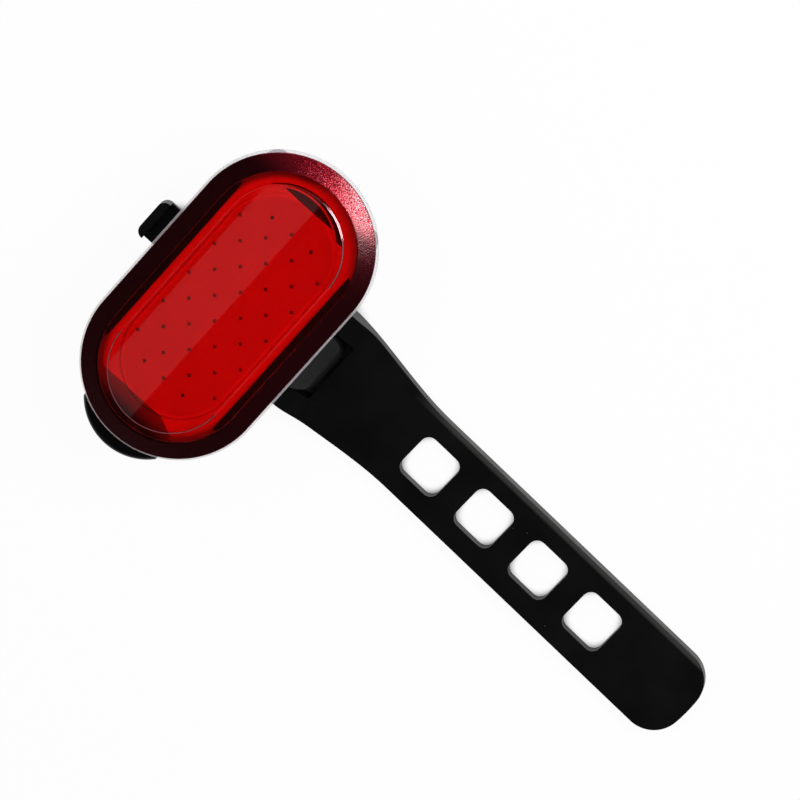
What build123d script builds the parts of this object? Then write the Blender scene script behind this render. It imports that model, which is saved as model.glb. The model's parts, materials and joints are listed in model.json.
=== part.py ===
import os
from math import cos, radians, sin, sqrt, tan

from build123d import *

os.makedirs("parts", exist_ok=True)

# A rear light for a bicycle with its rubber strap, in millimetres.
# The origin is on the axis of the seatpost, at the middle of the lamp. +Z points out through the
# lens, +Y runs along the lamp and the post, and +X is the side that the strap leaves from.

# Every cut runs this far past what it cuts
overrun = 3.0

# Saddle pad: the rubber that sits on the post
post_radius = 13.6
post_clearance = 0.1
saddle_cut = 2.0
saddle_land = 1.9
pad_crown = 1.5
pad_end_gap = 2.0
pad_corner = 4.0
pad_edge = 0.8
peg_radius = 1.5
peg_inset = 11.0
peg_play = 0.05

# Mount bracket: a plate with a hook on one side and an anchor nose on the other
plate_thickness = 1.6
plate_end_gap = 4.3
plate_corner = 10.0
flank_play = 0.3
hook_play = 0.7
hook_wall = 2.8
hook_gap = 3.4
hook_tip = 1.7
hook_arm = 2.8
hook_rise = 2.6
hook_ground = 1.5
hook_corner = 1.6
hook_heel = 2.0
nose_width = 12.4
nose_radius = 4.8
nose_corner = 4.2
nose_ground = 0.3
nose_shoulder = 0.2

# Strap and its pin
pin_radius = 1.2
pin_play = 0.05
pin_reach = 3.2
hub_radius = 3.0
hub_pad_gap = 0.5
hub_ear = 4.6
hub_end_play = 0.3
strap_thickness = 3.0
strap_width = 17.0
strap_tail = 24.1
strap_end_bow = 1.2
strap_end_corner = 6.2
strap_edge = 0.9
strap_lean_angle = 1.9
neck_offset = 1.0
neck_length = 26.0
neck_lead_in = 7.0
neck_lead_out = 9.0
fairing_length = 9.0
fairing_lead = 4.0
notch_play = 0.6
notch_corner = 0.7
hole_count = 4
hole_size = 8.9
hole_corner = 1.8
hole_pitch = 13.7
first_hole_gap = 3.2

# Housing: the rim is its open end, under the lens
housing_wall = 2.0
housing_floor = 1.6
housing_draft_angle = 9.0
housing_back_edge = 1.4
boss_radius = 2.5
boss_socket_gap = 1.5
boss_end_gap = 9.8
screw_radius = 1.1
screw_head_radius = 2.1
screw_head_height = 1.0
screw_bite = 3.6
screw_play = 0.1

# Seal, clear ring and lens
seal_width = 0.7
seal_height = 0.6
seal_inset = 0.65
seal_play = 0.05
ring_overhang = 0.42
ring_thickness = 1.2
ring_edge = 0.35
lens_length = 64.0
lens_width = 35.0
lens_overhang = 0.7
lens_skirt = 0.6
bevel_width = 3.0
bevel_rise = 1.5
window_end_land = 1.8
window_side_land = 3.1
land_rise = 0.3
window_rise = 0.3
window_thickness = 1.7
spigot_wall = 0.8
spigot_depth = 1.0
spigot_play = 0.3

# Dotted panel and the tray that carries it
panel_end_margin = 2.9
panel_side_margin = 0.5
panel_thickness = 1.3
panel_play = 0.15
pit_end_margin = 6.45
pit_side_margin = 1.555
pit_size = 0.75
pit_depth = 0.35
pit_angle = 45.0
pit_taper_angle = 20.0
pit_row_shares = (-1.5, -1, -0.5, 0, 0.5, 1, 1.5)
pit_row_counts = (5, 4, 5, 6, 5, 4, 5)
pit_end_shares = (0.75, 2.5)
tray_play = 0.2
tray_height = 2.4
ledge_height = 1.4
ledge_width = 0.9
rail_width = 1.3
rail_overrun = 3.3
rail_wall = 0.2
rail_sunk = 0.8
rail_height = 1.4
rail_play = 0.1
clip_width = 1.7
clip_length = 1.0

# Board and what is on it
board_end_gap = 4.8
board_side_gap = 2.3
board_drop = 2.1
board_thickness = 1.0
led_width = 2.8
led_length = 3.5
led_height = 0.8
led_spacing_x = 9.0
led_end_margin = 7.0
led_row_count = 6
chip_size = 4.0
chip_height = 0.9
chip_end_gap = 3.9
indicator_width = 0.8
indicator_length = 1.6
indicator_height = 0.6
indicator_gap = 1.7

# Battery
battery_boss_gap = 0.5
battery_switch_gap = 3.7
battery_side_gap = 4.8
battery_board_gap = 0.4
battery_corner = 1.2
foam_margin = 3.0
foam_thickness = 0.5
tab_width = 2.5
tab_thickness = 0.3
tab_reach = 1.8
tab_spacing = 8.0

# Charging socket and its rubber cover
socket_width = 9.0
socket_height = 3.2
socket_corner = 1.4
socket_wall = 0.3
socket_length = 6.8
socket_set_back = 1.4
socket_floor_gap = 1.0
socket_play = 0.2
tongue_width = 6.6
tongue_thickness = 0.7
tongue_short = 0.8
socket_back = 1.0
port_block_side = 4.0
port_block_depth = 2.4
port_block_play = 0.3
cover_side_lap = 1.5
cover_top_lap = 0.7
cover_thickness = 1.0
cover_play = 0.3
cover_lift = 0.15
cover_corner = 1.2
plug_width = 8.0
plug_height = 2.0
plug_corner = 0.6
plug_depth = 0.9
plug_root = 0.3

# Power switch and the rubber button over it
button_reach = 3.3
button_horn = 1.29
button_width = 17.6
button_height = 6.2
button_edge = 1.2
button_travel = 0.6
button_play = 0.3
neck_inset = 3.5
neck_height = 2.8
neck_root = 2.0
neck_corner = 0.8
flange_lip = 1.9
flange_thickness = 0.8
flange_gap = 0.48
post_width = 2.4
post_height = 1.8
post_length = 1.0
post_corner = 0.3
switch_width = 4.6
switch_length = 3.6
switch_height = 3.4
switch_free_play = 0.4
plunger_width = 2.0
plunger_height = 1.4
plunger_corner = 0.2
plunger_out = 1.0
plunger_in = 0.8
plunger_pocket = 1.6
plunger_play = 0.1

# Sizes that follow from the lens
rim_length = lens_length - 2 * lens_overhang
rim_width = lens_width - 2 * lens_overhang
end_centre = (rim_length - rim_width) / 2
window_length = lens_length - 2 * (bevel_width + window_end_land)
window_width = lens_width - 2 * (bevel_width + window_side_land)
panel_length = window_length - 2 * panel_end_margin
panel_width = window_width - 2 * panel_side_margin
plate_length = rim_length - 2 * plate_end_gap
pad_length = plate_length - 2 * pad_end_gap
board_length = rim_length - 2 * (housing_wall + board_end_gap)
board_width = rim_width - 2 * (housing_wall + board_side_gap)

# Sizes that follow from the post, the socket and the hook's hole
saddle_radius = post_radius + post_clearance
saddle_half_span = post_radius - saddle_cut
pad_half_width = saddle_half_span + saddle_land
boss_height = socket_floor_gap + socket_height
boss_spacing_x = socket_width + 2 * (boss_radius + boss_socket_gap)
boss_spacing_y = rim_length - 2 * boss_end_gap
housing_height = housing_floor + boss_height + board_drop
hook_width = hole_size - hook_play

# Levels, from the post outwards
rest_level = sqrt(saddle_radius**2 - saddle_half_span**2)
strap_top = rest_level + strap_thickness
pad_top = saddle_radius + pad_crown
housing_back = pad_top + plate_thickness
floor_level = housing_back + housing_floor
board_level = floor_level + boss_height
board_top = board_level + board_thickness
panel_level = board_top + ledge_height
tray_top = board_top + tray_height
rim_level = housing_back + housing_height
lens_level = rim_level + ring_thickness
bevel_level = lens_level + lens_skirt
land_level = bevel_level + bevel_rise
window_level = land_level + land_rise
lens_top = window_level + window_rise
button_level = board_level - switch_height / 2
socket_level = board_level - socket_height / 2
draft = tan(radians(housing_draft_angle))


# A stadium lying along Y at a level
def stadium(length, width, level):
    with BuildSketch(Plane.XY.offset(level)) as outline:
        SlotOverall(length, width, rotation=90)
    return outline.sketch


# A ring between two stadiums, between two levels
def stadium_ring(length, width, wall, low, high):
    with BuildPart() as ring:
        extrude(stadium(length, width, low), amount=high - low)
        bore = stadium(length - 2 * wall, width - 2 * wall, low)
        extrude(bore, amount=high - low, mode=Mode.SUBTRACT)
    return ring.part


# The drafted body of the housing, set in from its outer face, between two levels
def drafted_body(inset, low, high):
    with BuildPart() as body:
        for level in (low, high):
            shrink = 2 * (inset + draft * (rim_level - level))
            with BuildSketch(Plane.XY.offset(level)):
                SlotOverall(rim_length - shrink, rim_width - shrink, rotation=90)
        loft(ruled=True)
    return body.part


# A rounded bar along Y, centred at a level, from one Y to another
def bar_along_y(width, height, corner, level, near, far):
    with BuildPart() as bar:
        with BuildSketch(Plane.XZ.offset(-near)):
            with Locations((0, level)):
                RectangleRounded(width, height, corner)
        extrude(amount=near - far)
    return bar.part


# An upright block between two corners
def block(low, high):
    sizes = [far - near for near, far in zip(low, high)]
    middle = [(near + far) / 2 for near, far in zip(low, high)]
    with BuildPart() as brick:
        with Locations(tuple(middle)):
            Box(*sizes)
    return brick.part


# A point of the strap's tongue, which leans a little from where its neck starts
def leaned(x, y, start):
    lean = radians(strap_lean_angle)
    return (
        start + (x - start) * cos(lean) + y * sin(lean),
        y * cos(lean) - (x - start) * sin(lean),
    )


# A countersunk screw standing on its head at the underside of the bracket
def screw_form(play, length):
    with BuildPart() as form:
        with BuildSketch(Plane.XZ):
            with BuildLine():
                Polyline(
                    (0, pad_top),
                    (screw_head_radius + play, pad_top),
                    (screw_radius + play, pad_top + screw_head_height),
                    (screw_radius + play, pad_top + length),
                    (0, pad_top + length),
                    close=True,
                )
            make_face()
        revolve(axis=Axis.Z)
    return form.part


def save(piece, label):
    piece.part.label = label
    export_step(piece.part, f"parts/{label}.step")


# Saddle pad: a rubber block with the round of the post taken out of its underside, and two pegs
# on top that hold it to the bracket
with BuildPart() as saddle_pad:
    with BuildSketch(Plane.XY.offset(rest_level)):
        RectangleRounded(2 * pad_half_width, pad_length, pad_corner)
    extrude(amount=pad_top - rest_level)
    chamfer(saddle_pad.faces().sort_by(Axis.Z)[-1].edges(), pad_edge)
    with BuildSketch(Plane.XZ):
        Circle(saddle_radius)
    extrude(amount=pad_length, both=True, mode=Mode.SUBTRACT)
    with BuildSketch(Plane.XY.offset(pad_top)):
        with GridLocations(pad_length, pad_length - 2 * peg_inset, 1, 2):
            Circle(peg_radius)
    extrude(amount=plate_thickness)
save(saddle_pad, "saddle_pad")

# Anchor nose of the bracket: a round lug that fills the notch in the strap's root
pin_x = pad_half_width + hub_pad_gap + hub_radius
pin_level = rest_level + hub_radius
nose_end = pin_x + nose_radius
flank = pad_half_width + flank_play
nose_slope = nose_radius / sqrt(2)
with BuildPart() as nose:
    with BuildSketch(Plane.XZ):
        with Locations((pin_x, pin_level)):
            Circle(nose_radius)
        with BuildLine():
            Polyline(
                (flank, housing_back),
                (pin_x - nose_shoulder, housing_back),
                (pin_x + nose_slope, pin_level + nose_slope),
                (pin_x, pin_level),
                (flank, pin_level),
                close=True,
            )
        make_face()
    extrude(amount=nose_width / 2, both=True)
    with BuildSketch(Plane.XY.offset(rest_level + nose_ground)):
        with BuildLine():
            Polyline(
                (flank, -nose_width / 2),
                (nose_end, -nose_width / 2),
                (nose_end, nose_width / 2),
                (flank, nose_width / 2),
                close=True,
            )
        nose_plan = make_face()
        fillet(nose_plan.vertices().group_by(Axis.X)[-1], nose_corner)
    extrude(amount=housing_back - rest_level - nose_ground, mode=Mode.INTERSECT)

# Mount bracket: the plate, with the hook that catches the strap and the nose that holds its pin
hook_outer = flank + hook_wall
hook_end = hook_outer + hook_gap + hook_tip
hook_low = rest_level + hook_ground
arm_top = hook_low + hook_arm
with BuildPart() as mount_bracket:
    with BuildSketch(Plane.XZ):
        with BuildLine():
            Polyline(
                (-saddle_half_span, housing_back),
                (-hook_outer, housing_back),
                (-hook_outer, arm_top),
                (hook_tip - hook_end, arm_top),
                (hook_tip - hook_end, arm_top + hook_rise),
                (-hook_end, arm_top + hook_rise),
                (-hook_end, hook_low),
                (-flank, hook_low),
                (-flank, pad_top),
                (-saddle_half_span, pad_top),
                close=True,
            )
        make_face()
    extrude(amount=hook_width / 2, both=True)
    hook_uprights = mount_bracket.edges().filter_by(Axis.Z).group_by(Axis.X)[0]
    fillet(hook_uprights, hook_corner)
    heel = mount_bracket.faces().sort_by(Axis.X)[0].edges().sort_by(Axis.Z)[0]
    fillet(heel, hook_heel)
    with BuildSketch(Plane.XY.offset(pad_top)):
        RectangleRounded(2 * pad_half_width, plate_length, plate_corner)
    extrude(amount=plate_thickness)
    add(nose.part)
    add(block(
        (saddle_half_span, -nose_width / 2, pad_top),
        (pin_x - nose_shoulder, nose_width / 2, housing_back),
    ))
    with BuildSketch(Plane.XZ):
        with Locations((pin_x, pin_level)):
            Circle(pin_radius)
    extrude(amount=nose_width, both=True, mode=Mode.SUBTRACT)
    with BuildSketch(Plane.XY.offset(pad_top)):
        with GridLocations(pad_length, pad_length - 2 * peg_inset, 1, 2):
            Circle(peg_radius + peg_play)
    extrude(amount=plate_thickness, mode=Mode.SUBTRACT)
    with GridLocations(boss_spacing_x, boss_spacing_y, 2, 2):
        add(screw_form(screw_play, plate_thickness), mode=Mode.SUBTRACT)
save(mount_bracket, "mount_bracket")

with BuildPart() as bracket_screws:
    with GridLocations(boss_spacing_x, boss_spacing_y, 2, 2):
        add(screw_form(0, plate_thickness + screw_bite))
save(bracket_screws, "bracket_screws")

# Pin: it is held in the nose and carries the strap on its two ends
pin_half_length = nose_width / 2 + hub_end_play + pin_reach
with BuildPart() as strap_pin:
    with BuildSketch(Plane.XZ):
        with Locations((pin_x, pin_level)):
            Circle(pin_radius)
    extrude(amount=pin_half_length, both=True)
save(strap_pin, "strap_pin")

# Strap: a flat rubber tongue that widens to a round hub at the pin and lies a little askew
half_root = nose_width / 2 + hub_end_play + hub_ear
half_width = strap_width / 2
neck_start = pin_x + neck_offset
neck_end = neck_start + neck_length
first_hole = neck_end + first_hole_gap
last_hole = first_hole + (hole_count - 1) * hole_pitch
strap_end = last_hole + strap_tail
with BuildPart() as strap:
    with BuildSketch(Plane.XY.offset(rest_level)) as strap_plan:
        with BuildLine():
            for side in (-1, 1):
                Line((pin_x - hub_radius, side * half_root), (neck_start, side * half_root))
                Bezier(
                    (neck_start, side * half_root),
                    (neck_start + neck_lead_in, side * half_root),
                    leaned(neck_end - neck_lead_out, side * half_width, neck_start),
                    leaned(neck_end, side * half_width, neck_start),
                )
                Line(
                    leaned(neck_end, side * half_width, neck_start),
                    leaned(strap_end - strap_end_bow, side * half_width, neck_start),
                )
            ThreePointArc(
                leaned(strap_end - strap_end_bow, half_width, neck_start),
                leaned(strap_end, 0, neck_start),
                leaned(strap_end - strap_end_bow, -half_width, neck_start),
            )
            Line((pin_x - hub_radius, half_root), (pin_x - hub_radius, -half_root))
        make_face()
        fillet(strap_plan.vertices().sort_by(Axis.X)[-2:], strap_end_corner)
    extrude(amount=2 * hub_radius)
    with BuildSketch(Plane.XZ):
        with Locations((pin_x, pin_level)):
            Circle(hub_radius)
        with BuildLine():
            Bezier(
                (pin_x, pin_level + hub_radius),
                (pin_x + fairing_lead, pin_level + hub_radius),
                (pin_x + fairing_length - fairing_lead, strap_top),
                (pin_x + fairing_length, strap_top),
            )
            Polyline(
                (pin_x + fairing_length, strap_top),
                (strap_end + overrun, strap_top),
                (strap_end + overrun, rest_level),
                (pin_x, rest_level),
                (pin_x, pin_level + hub_radius),
            )
        make_face()
    extrude(amount=2 * half_root, both=True, mode=Mode.INTERSECT)
    strap_face = strap.faces().filter_by(Axis.Z).sort_by(Axis.Z)[-1]
    fillet(strap_face.edges().sort_by(Axis.X)[1:], strap_edge)
    with BuildSketch(Plane.XY.offset(rest_level)):
        for hole in range(hole_count):
            hole_x, hole_y = leaned(first_hole + hole * hole_pitch, 0, neck_start)
            with Locations(Location((hole_x, hole_y, 0), (0, 0, -strap_lean_angle))):
                RectangleRounded(hole_size, hole_size, hole_corner)
    extrude(amount=strap_thickness, mode=Mode.SUBTRACT)
    notch_end = nose_end + notch_play
    notch_width = nose_width + 2 * hub_end_play
    with BuildSketch(Plane.XY.offset(rest_level)):
        with Locations((notch_end, 0)):
            RectangleRounded(notch_end, notch_width, notch_corner, align=(Align.MAX, Align.CENTER))
    extrude(amount=2 * hub_radius, mode=Mode.SUBTRACT)
    with BuildSketch(Plane.XZ):
        with Locations((pin_x, pin_level)):
            Circle(pin_radius + pin_play)
    extrude(amount=pin_half_length + hub_end_play, both=True, mode=Mode.SUBTRACT)
save(strap, "strap")

# The rubber button's and the switch's places along the lamp, counted towards -Y
neck_width = button_width - 2 * neck_inset
flange_width = neck_width + 2 * flange_lip
flange_low = button_level - neck_height / 2
inner_radius = rim_width / 2 - housing_wall - draft * (rim_level - flange_low)
button_front = lens_length / 2 + button_reach
flange_front = end_centre + sqrt(inner_radius**2 - (flange_width / 2) ** 2) - flange_gap
flange_back = flange_front - flange_thickness
post_end = flange_back - post_length
plunger_front = post_end - switch_free_play
switch_front = plunger_front - plunger_out
switch_rear = switch_front - switch_length

# The charging socket's and its cover's places along the lamp, counted towards +Y
cover_width = socket_width + 2 * cover_side_lap
cover_height = socket_height + 2 * cover_top_lap
port_block_width = socket_width + 2 * port_block_side
port_block_top = rim_level - spigot_depth - port_block_play
socket_front = rim_length / 2 - housing_wall - socket_set_back
socket_rear = socket_front - socket_length
port_face = rim_length / 2 - draft * (rim_level - socket_level)

# Local pieces of the housing at the port: the block behind it and the recess for its cover
with BuildPart() as port_block:
    block_inner = rim_length / 2 - housing_wall - port_block_depth
    add(block(
        (-port_block_width / 2, block_inner, floor_level),
        (port_block_width / 2, rim_length / 2, port_block_top),
    ))
    add(drafted_body(housing_wall / 2, housing_back, rim_level), mode=Mode.INTERSECT)
with BuildPart() as cover_recess:
    add(bar_along_y(
        cover_width + 2 * cover_play,
        cover_height + 2 * cover_play + cover_lift,
        cover_corner,
        socket_level + cover_lift / 2,
        end_centre,
        rim_length / 2 + overrun,
    ))
    add(drafted_body(cover_thickness + cover_play, housing_back, rim_level), mode=Mode.SUBTRACT)

# Rear housing: the moulded shell that everything is built into
with BuildPart() as rear_housing:
    add(drafted_body(0, housing_back, rim_level))
    fillet(rear_housing.faces().sort_by(Axis.Z)[0].edges(), housing_back_edge)
    add(drafted_body(housing_wall, floor_level, rim_level + overrun), mode=Mode.SUBTRACT)
    with BuildSketch(Plane.XY.offset(floor_level)):
        with GridLocations(boss_spacing_x, boss_spacing_y, 2, 2):
            Circle(boss_radius)
    extrude(amount=boss_height)
    add(port_block.part)
    add(cover_recess.part, mode=Mode.SUBTRACT)
    add(bar_along_y(
        socket_width + 2 * socket_play,
        socket_height + 2 * socket_play,
        socket_corner,
        socket_level,
        block_inner - overrun,
        rim_length / 2 + overrun,
    ), mode=Mode.SUBTRACT)
    add(bar_along_y(
        neck_width + 2 * button_play,
        neck_height + 2 * button_play,
        neck_corner,
        button_level,
        -button_front,
        -flange_front,
    ), mode=Mode.SUBTRACT)
    add(stadium_ring(
        rim_length - 2 * (seal_inset - seal_play),
        rim_width - 2 * (seal_inset - seal_play),
        seal_width + 2 * seal_play,
        rim_level - seal_height,
        rim_level,
    ), mode=Mode.SUBTRACT)
    with GridLocations(boss_spacing_x, boss_spacing_y, 2, 2):
        add(screw_form(0, plate_thickness + screw_bite), mode=Mode.SUBTRACT)
save(rear_housing, "rear_housing")

# Seal: the rubber cord in the housing's rim
with BuildPart() as rim_seal:
    add(stadium_ring(
        rim_length - 2 * seal_inset,
        rim_width - 2 * seal_inset,
        seal_width,
        rim_level - seal_height,
        rim_level,
    ))
save(rim_seal, "rim_seal")

# Clear ring: the pale line of light round the lamp's side, a little proud of the lens
spigot_length = rim_length - 2 * (housing_wall + spigot_play)
spigot_width = rim_width - 2 * (housing_wall + spigot_play)
with BuildPart() as clear_ring:
    add(stadium_ring(
        lens_length + 2 * ring_overhang,
        lens_width + 2 * ring_overhang,
        (lens_width + 2 * ring_overhang - rim_width) / 2 + housing_wall,
        rim_level,
        lens_level,
    ))
    for ring_face in clear_ring.faces().filter_by(Axis.Z):
        chamfer(ring_face.outer_wire().edges(), ring_edge)
save(clear_ring, "clear_ring")

# Front lens: a skirt, a broad bevel, a gentle land and the raised window, hollow underneath, with
# a spigot that enters the clear ring and the housing
cavity_length = spigot_length - 2 * spigot_wall
cavity_width = spigot_width - 2 * spigot_wall
ceiling = lens_top - window_thickness
with BuildPart() as front_lens:
    extrude(stadium(lens_length, lens_width, lens_level), amount=lens_skirt)
    bevel_foot = stadium(lens_length, lens_width, bevel_level)
    bevel_head = stadium(lens_length - 2 * bevel_width, lens_width - 2 * bevel_width, land_level)
    loft([bevel_foot.face(), bevel_head.face()], ruled=True)
    window_foot = stadium(window_length, window_width, window_level)
    loft([bevel_head.face(), window_foot.face()], ruled=True)
    extrude(window_foot, amount=window_rise)
    spigot_end = stadium(spigot_length, spigot_width, rim_level - spigot_depth)
    extrude(spigot_end, amount=spigot_depth + ring_thickness)
    cavity_end = stadium(cavity_length, cavity_width, rim_level - spigot_depth)
    extrude(cavity_end, amount=ceiling - rim_level + spigot_depth, mode=Mode.SUBTRACT)
save(front_lens, "front_lens")

# Dotted panel: the flat diffuser under the window, with a staggered field of small square pits
pit_pitch_x = (panel_width / 2 - pit_side_margin) / max(pit_row_shares)
pit_pitch_y = (panel_length / 2 - pit_end_margin) / max(pit_end_shares)
pits = []
for row_share, row_count in zip(pit_row_shares, pit_row_counts):
    for pit in range(row_count):
        pits.append((row_share * pit_pitch_x, (pit - (row_count - 1) / 2) * pit_pitch_y))
for side in (-1, 1):
    for end in (-1, 1):
        pits.append((side * pit_end_shares[0] * pit_pitch_x, end * pit_end_shares[1] * pit_pitch_y))
with BuildPart() as dotted_panel:
    extrude(stadium(panel_length, panel_width, panel_level), amount=panel_thickness)
    with BuildSketch(Plane.XY.offset(panel_level + panel_thickness)):
        with Locations(*pits):
            Rectangle(pit_size, pit_size, rotation=pit_angle)
    extrude(amount=-pit_depth, taper=pit_taper_angle, mode=Mode.SUBTRACT)
save(dotted_panel, "dotted_panel")

# Reflector tray: the white frame on the board that the panel drops into
tray_length = cavity_length - 2 * tray_play
tray_width = cavity_width - 2 * tray_play
seat_width = panel_width + 2 * panel_play
rail_spacing = seat_width + 2 * (rail_wall + rail_play) + rail_width
rail_length = tray_length - tray_width + 2 * rail_overrun
rail_floor = tray_top - rail_sunk
with BuildPart() as reflector_tray:
    extrude(stadium(tray_length, tray_width, board_top), amount=tray_height)
    light_well = stadium(panel_length - 2 * ledge_width, panel_width - 2 * ledge_width, board_top)
    extrude(light_well, amount=tray_height, mode=Mode.SUBTRACT)
    panel_seat = stadium(panel_length + 2 * panel_play, seat_width, panel_level)
    extrude(panel_seat, amount=tray_height, mode=Mode.SUBTRACT)
    with BuildSketch(Plane.XY.offset(rail_floor)):
        with GridLocations(rail_spacing, rail_spacing, 2, 1):
            Rectangle(rail_width + 2 * rail_play, rail_length + 2 * rail_play)
    extrude(amount=rail_sunk, mode=Mode.SUBTRACT)
save(reflector_tray, "reflector_tray")

# Side rails: two black bars in the tray's edges, with a clip at each end
with BuildPart() as side_rails:
    with BuildSketch(Plane.XY.offset(rail_floor)):
        with GridLocations(rail_spacing, rail_spacing, 2, 1):
            Rectangle(rail_width, rail_length)
    extrude(amount=rail_height)
    with BuildSketch(Plane.XY.offset(tray_top)):
        with GridLocations(rail_spacing, rail_length + clip_length, 2, 2):
            Rectangle(clip_width, clip_length)
    extrude(amount=rail_height - rail_sunk)
save(side_rails, "side_rails")

# Circuit board and the parts soldered to it
with BuildPart() as circuit_board:
    extrude(stadium(board_length, board_width, board_level), amount=board_thickness)
save(circuit_board, "circuit_board")

led_pitch_y = (board_length - 2 * led_end_margin) / (led_row_count - 1)
with BuildPart() as led_chips:
    with BuildSketch(Plane.XY.offset(board_top)):
        with GridLocations(led_spacing_x, led_pitch_y, 2, led_row_count):
            Rectangle(led_width, led_length)
    extrude(amount=led_height)
save(led_chips, "led_chips")

chip_offset = board_length / 2 - chip_end_gap
for chip_name, chip_side in (("controller_chip", -1), ("charger_chip", 1)):
    with BuildPart() as chip:
        with BuildSketch(Plane.XY.offset(board_top)):
            with Locations((0, chip_side * chip_offset)):
                Rectangle(chip_size, chip_size)
        extrude(amount=chip_height)
    save(chip, chip_name)

indicator_y = chip_offset - chip_size / 2 - indicator_gap
with BuildPart() as charge_indicator:
    with BuildSketch(Plane.XY.offset(board_top)):
        with Locations((0, indicator_y)):
            Rectangle(indicator_length, indicator_width)
    extrude(amount=indicator_height)
save(charge_indicator, "charge_indicator")

# Battery on its foam, with two tabs up to the board
battery_near = battery_switch_gap - switch_rear
battery_far = boss_spacing_y / 2 - boss_radius - battery_boss_gap
battery_width = rim_width - 2 * (housing_wall + battery_side_gap)
battery_height = boss_height - foam_thickness - battery_board_gap
battery_middle = floor_level + foam_thickness + battery_height / 2
with BuildPart() as battery_foam:
    with BuildSketch(Plane.XY.offset(floor_level)):
        with Locations((0, (battery_near + battery_far) / 2)):
            Rectangle(battery_width - 2 * foam_margin, battery_far - battery_near - 2 * foam_margin)
    extrude(amount=foam_thickness)
save(battery_foam, "battery_foam")

with BuildPart() as battery_cell:
    add(bar_along_y(
        battery_width,
        battery_height,
        battery_corner,
        battery_middle,
        battery_near,
        battery_far,
    ))
save(battery_cell, "battery_cell")

with BuildPart() as battery_tabs:
    for tab_x in (-tab_spacing / 2, tab_spacing / 2):
        tab_near = tab_x - tab_width / 2
        tab_far = tab_x + tab_width / 2
        tab_end = battery_near - tab_reach
        add(block(
            (tab_near, tab_end, battery_middle),
            (tab_far, battery_near, battery_middle + tab_thickness),
        ))
        add(block(
            (tab_near, tab_end, battery_middle),
            (tab_far, tab_end + tab_thickness, board_level),
        ))
save(battery_tabs, "battery_tabs")

# Charging socket: a metal shell under the board, with its tongue
with BuildPart() as socket_shell:
    add(bar_along_y(socket_width, socket_height, socket_corner, socket_level, socket_rear, socket_front))
    mouth_width = socket_width - 2 * socket_wall
    mouth_height = socket_height - 2 * socket_wall
    mouth_corner = socket_corner - socket_wall
    add(
        bar_along_y(mouth_width, mouth_height, mouth_corner, socket_level, socket_rear, socket_front),
        mode=Mode.SUBTRACT,
    )
save(socket_shell, "socket_shell")

with BuildPart() as socket_tongue:
    back_front = socket_rear + socket_back
    add(bar_along_y(mouth_width, mouth_height, mouth_corner, socket_level, socket_rear, back_front))
    add(block(
        (-tongue_width / 2, socket_rear, socket_level - tongue_thickness / 2),
        (tongue_width / 2, socket_front - tongue_short, socket_level + tongue_thickness / 2),
    ))
save(socket_tongue, "socket_tongue")

# Port cover: a rubber flap flush with the housing's end, with a short plug behind it
cover_inner = port_face - cover_thickness
with BuildPart() as port_cover:
    add(bar_along_y(cover_width, cover_height, cover_corner, socket_level, end_centre, rim_length / 2))
    add(drafted_body(0, housing_back, rim_level), mode=Mode.INTERSECT)
    add(drafted_body(cover_thickness, housing_back, rim_level), mode=Mode.SUBTRACT)
    add(bar_along_y(
        plug_width,
        plug_height,
        plug_corner,
        socket_level,
        cover_inner - plug_depth,
        cover_inner + plug_root,
    ))
save(port_cover, "port_cover")

# Power switch under the board, its plunger, and the rubber button that presses it
with BuildPart() as switch_body:
    add(block(
        (-switch_width / 2, -switch_front, board_level - switch_height),
        (switch_width / 2, -switch_rear, board_level),
    ))
    add(bar_along_y(
        plunger_width + 2 * plunger_play,
        plunger_height + 2 * plunger_play,
        plunger_corner + plunger_play,
        button_level,
        -switch_front,
        plunger_pocket - switch_front,
    ), mode=Mode.SUBTRACT)
save(switch_body, "switch_body")

with BuildPart() as switch_plunger:
    add(bar_along_y(
        plunger_width,
        plunger_height,
        plunger_corner,
        button_level,
        -plunger_front,
        plunger_in - switch_front,
    ))
save(switch_plunger, "switch_plunger")

seat_radius = rim_width / 2 + button_travel + button_play
horn_x = button_width / 2
horn_y = end_centre + sqrt(seat_radius**2 - horn_x**2) + button_horn
with BuildPart() as power_button:
    with BuildSketch(Plane.XY.offset(button_level - button_height / 2)):
        with BuildLine():
            ThreePointArc((-horn_x, -horn_y), (0, -button_front), (horn_x, -horn_y))
            Polyline((horn_x, -horn_y), (horn_x, -end_centre), (-horn_x, -end_centre), (-horn_x, -horn_y))
        make_face()
        with Locations((0, -end_centre)):
            Circle(seat_radius, mode=Mode.SUBTRACT)
    extrude(amount=button_height)
    front_face = power_button.faces().filter_by(GeomType.CYLINDER).sort_by(Axis.Y)[0]
    fillet(front_face.edges().filter_by(GeomType.CIRCLE), button_edge)
    add(bar_along_y(
        neck_width,
        neck_height,
        neck_corner,
        button_level,
        neck_root - button_front,
        -flange_back,
    ))
    add(bar_along_y(flange_width, neck_height, neck_corner, button_level, -flange_front, -flange_back))
    add(bar_along_y(post_width, post_height, post_corner, button_level, -flange_back, -post_end))
save(power_button, "power_button")
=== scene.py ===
import json
import math

import bmesh
import bpy
from mathutils import Matrix, Vector

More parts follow.
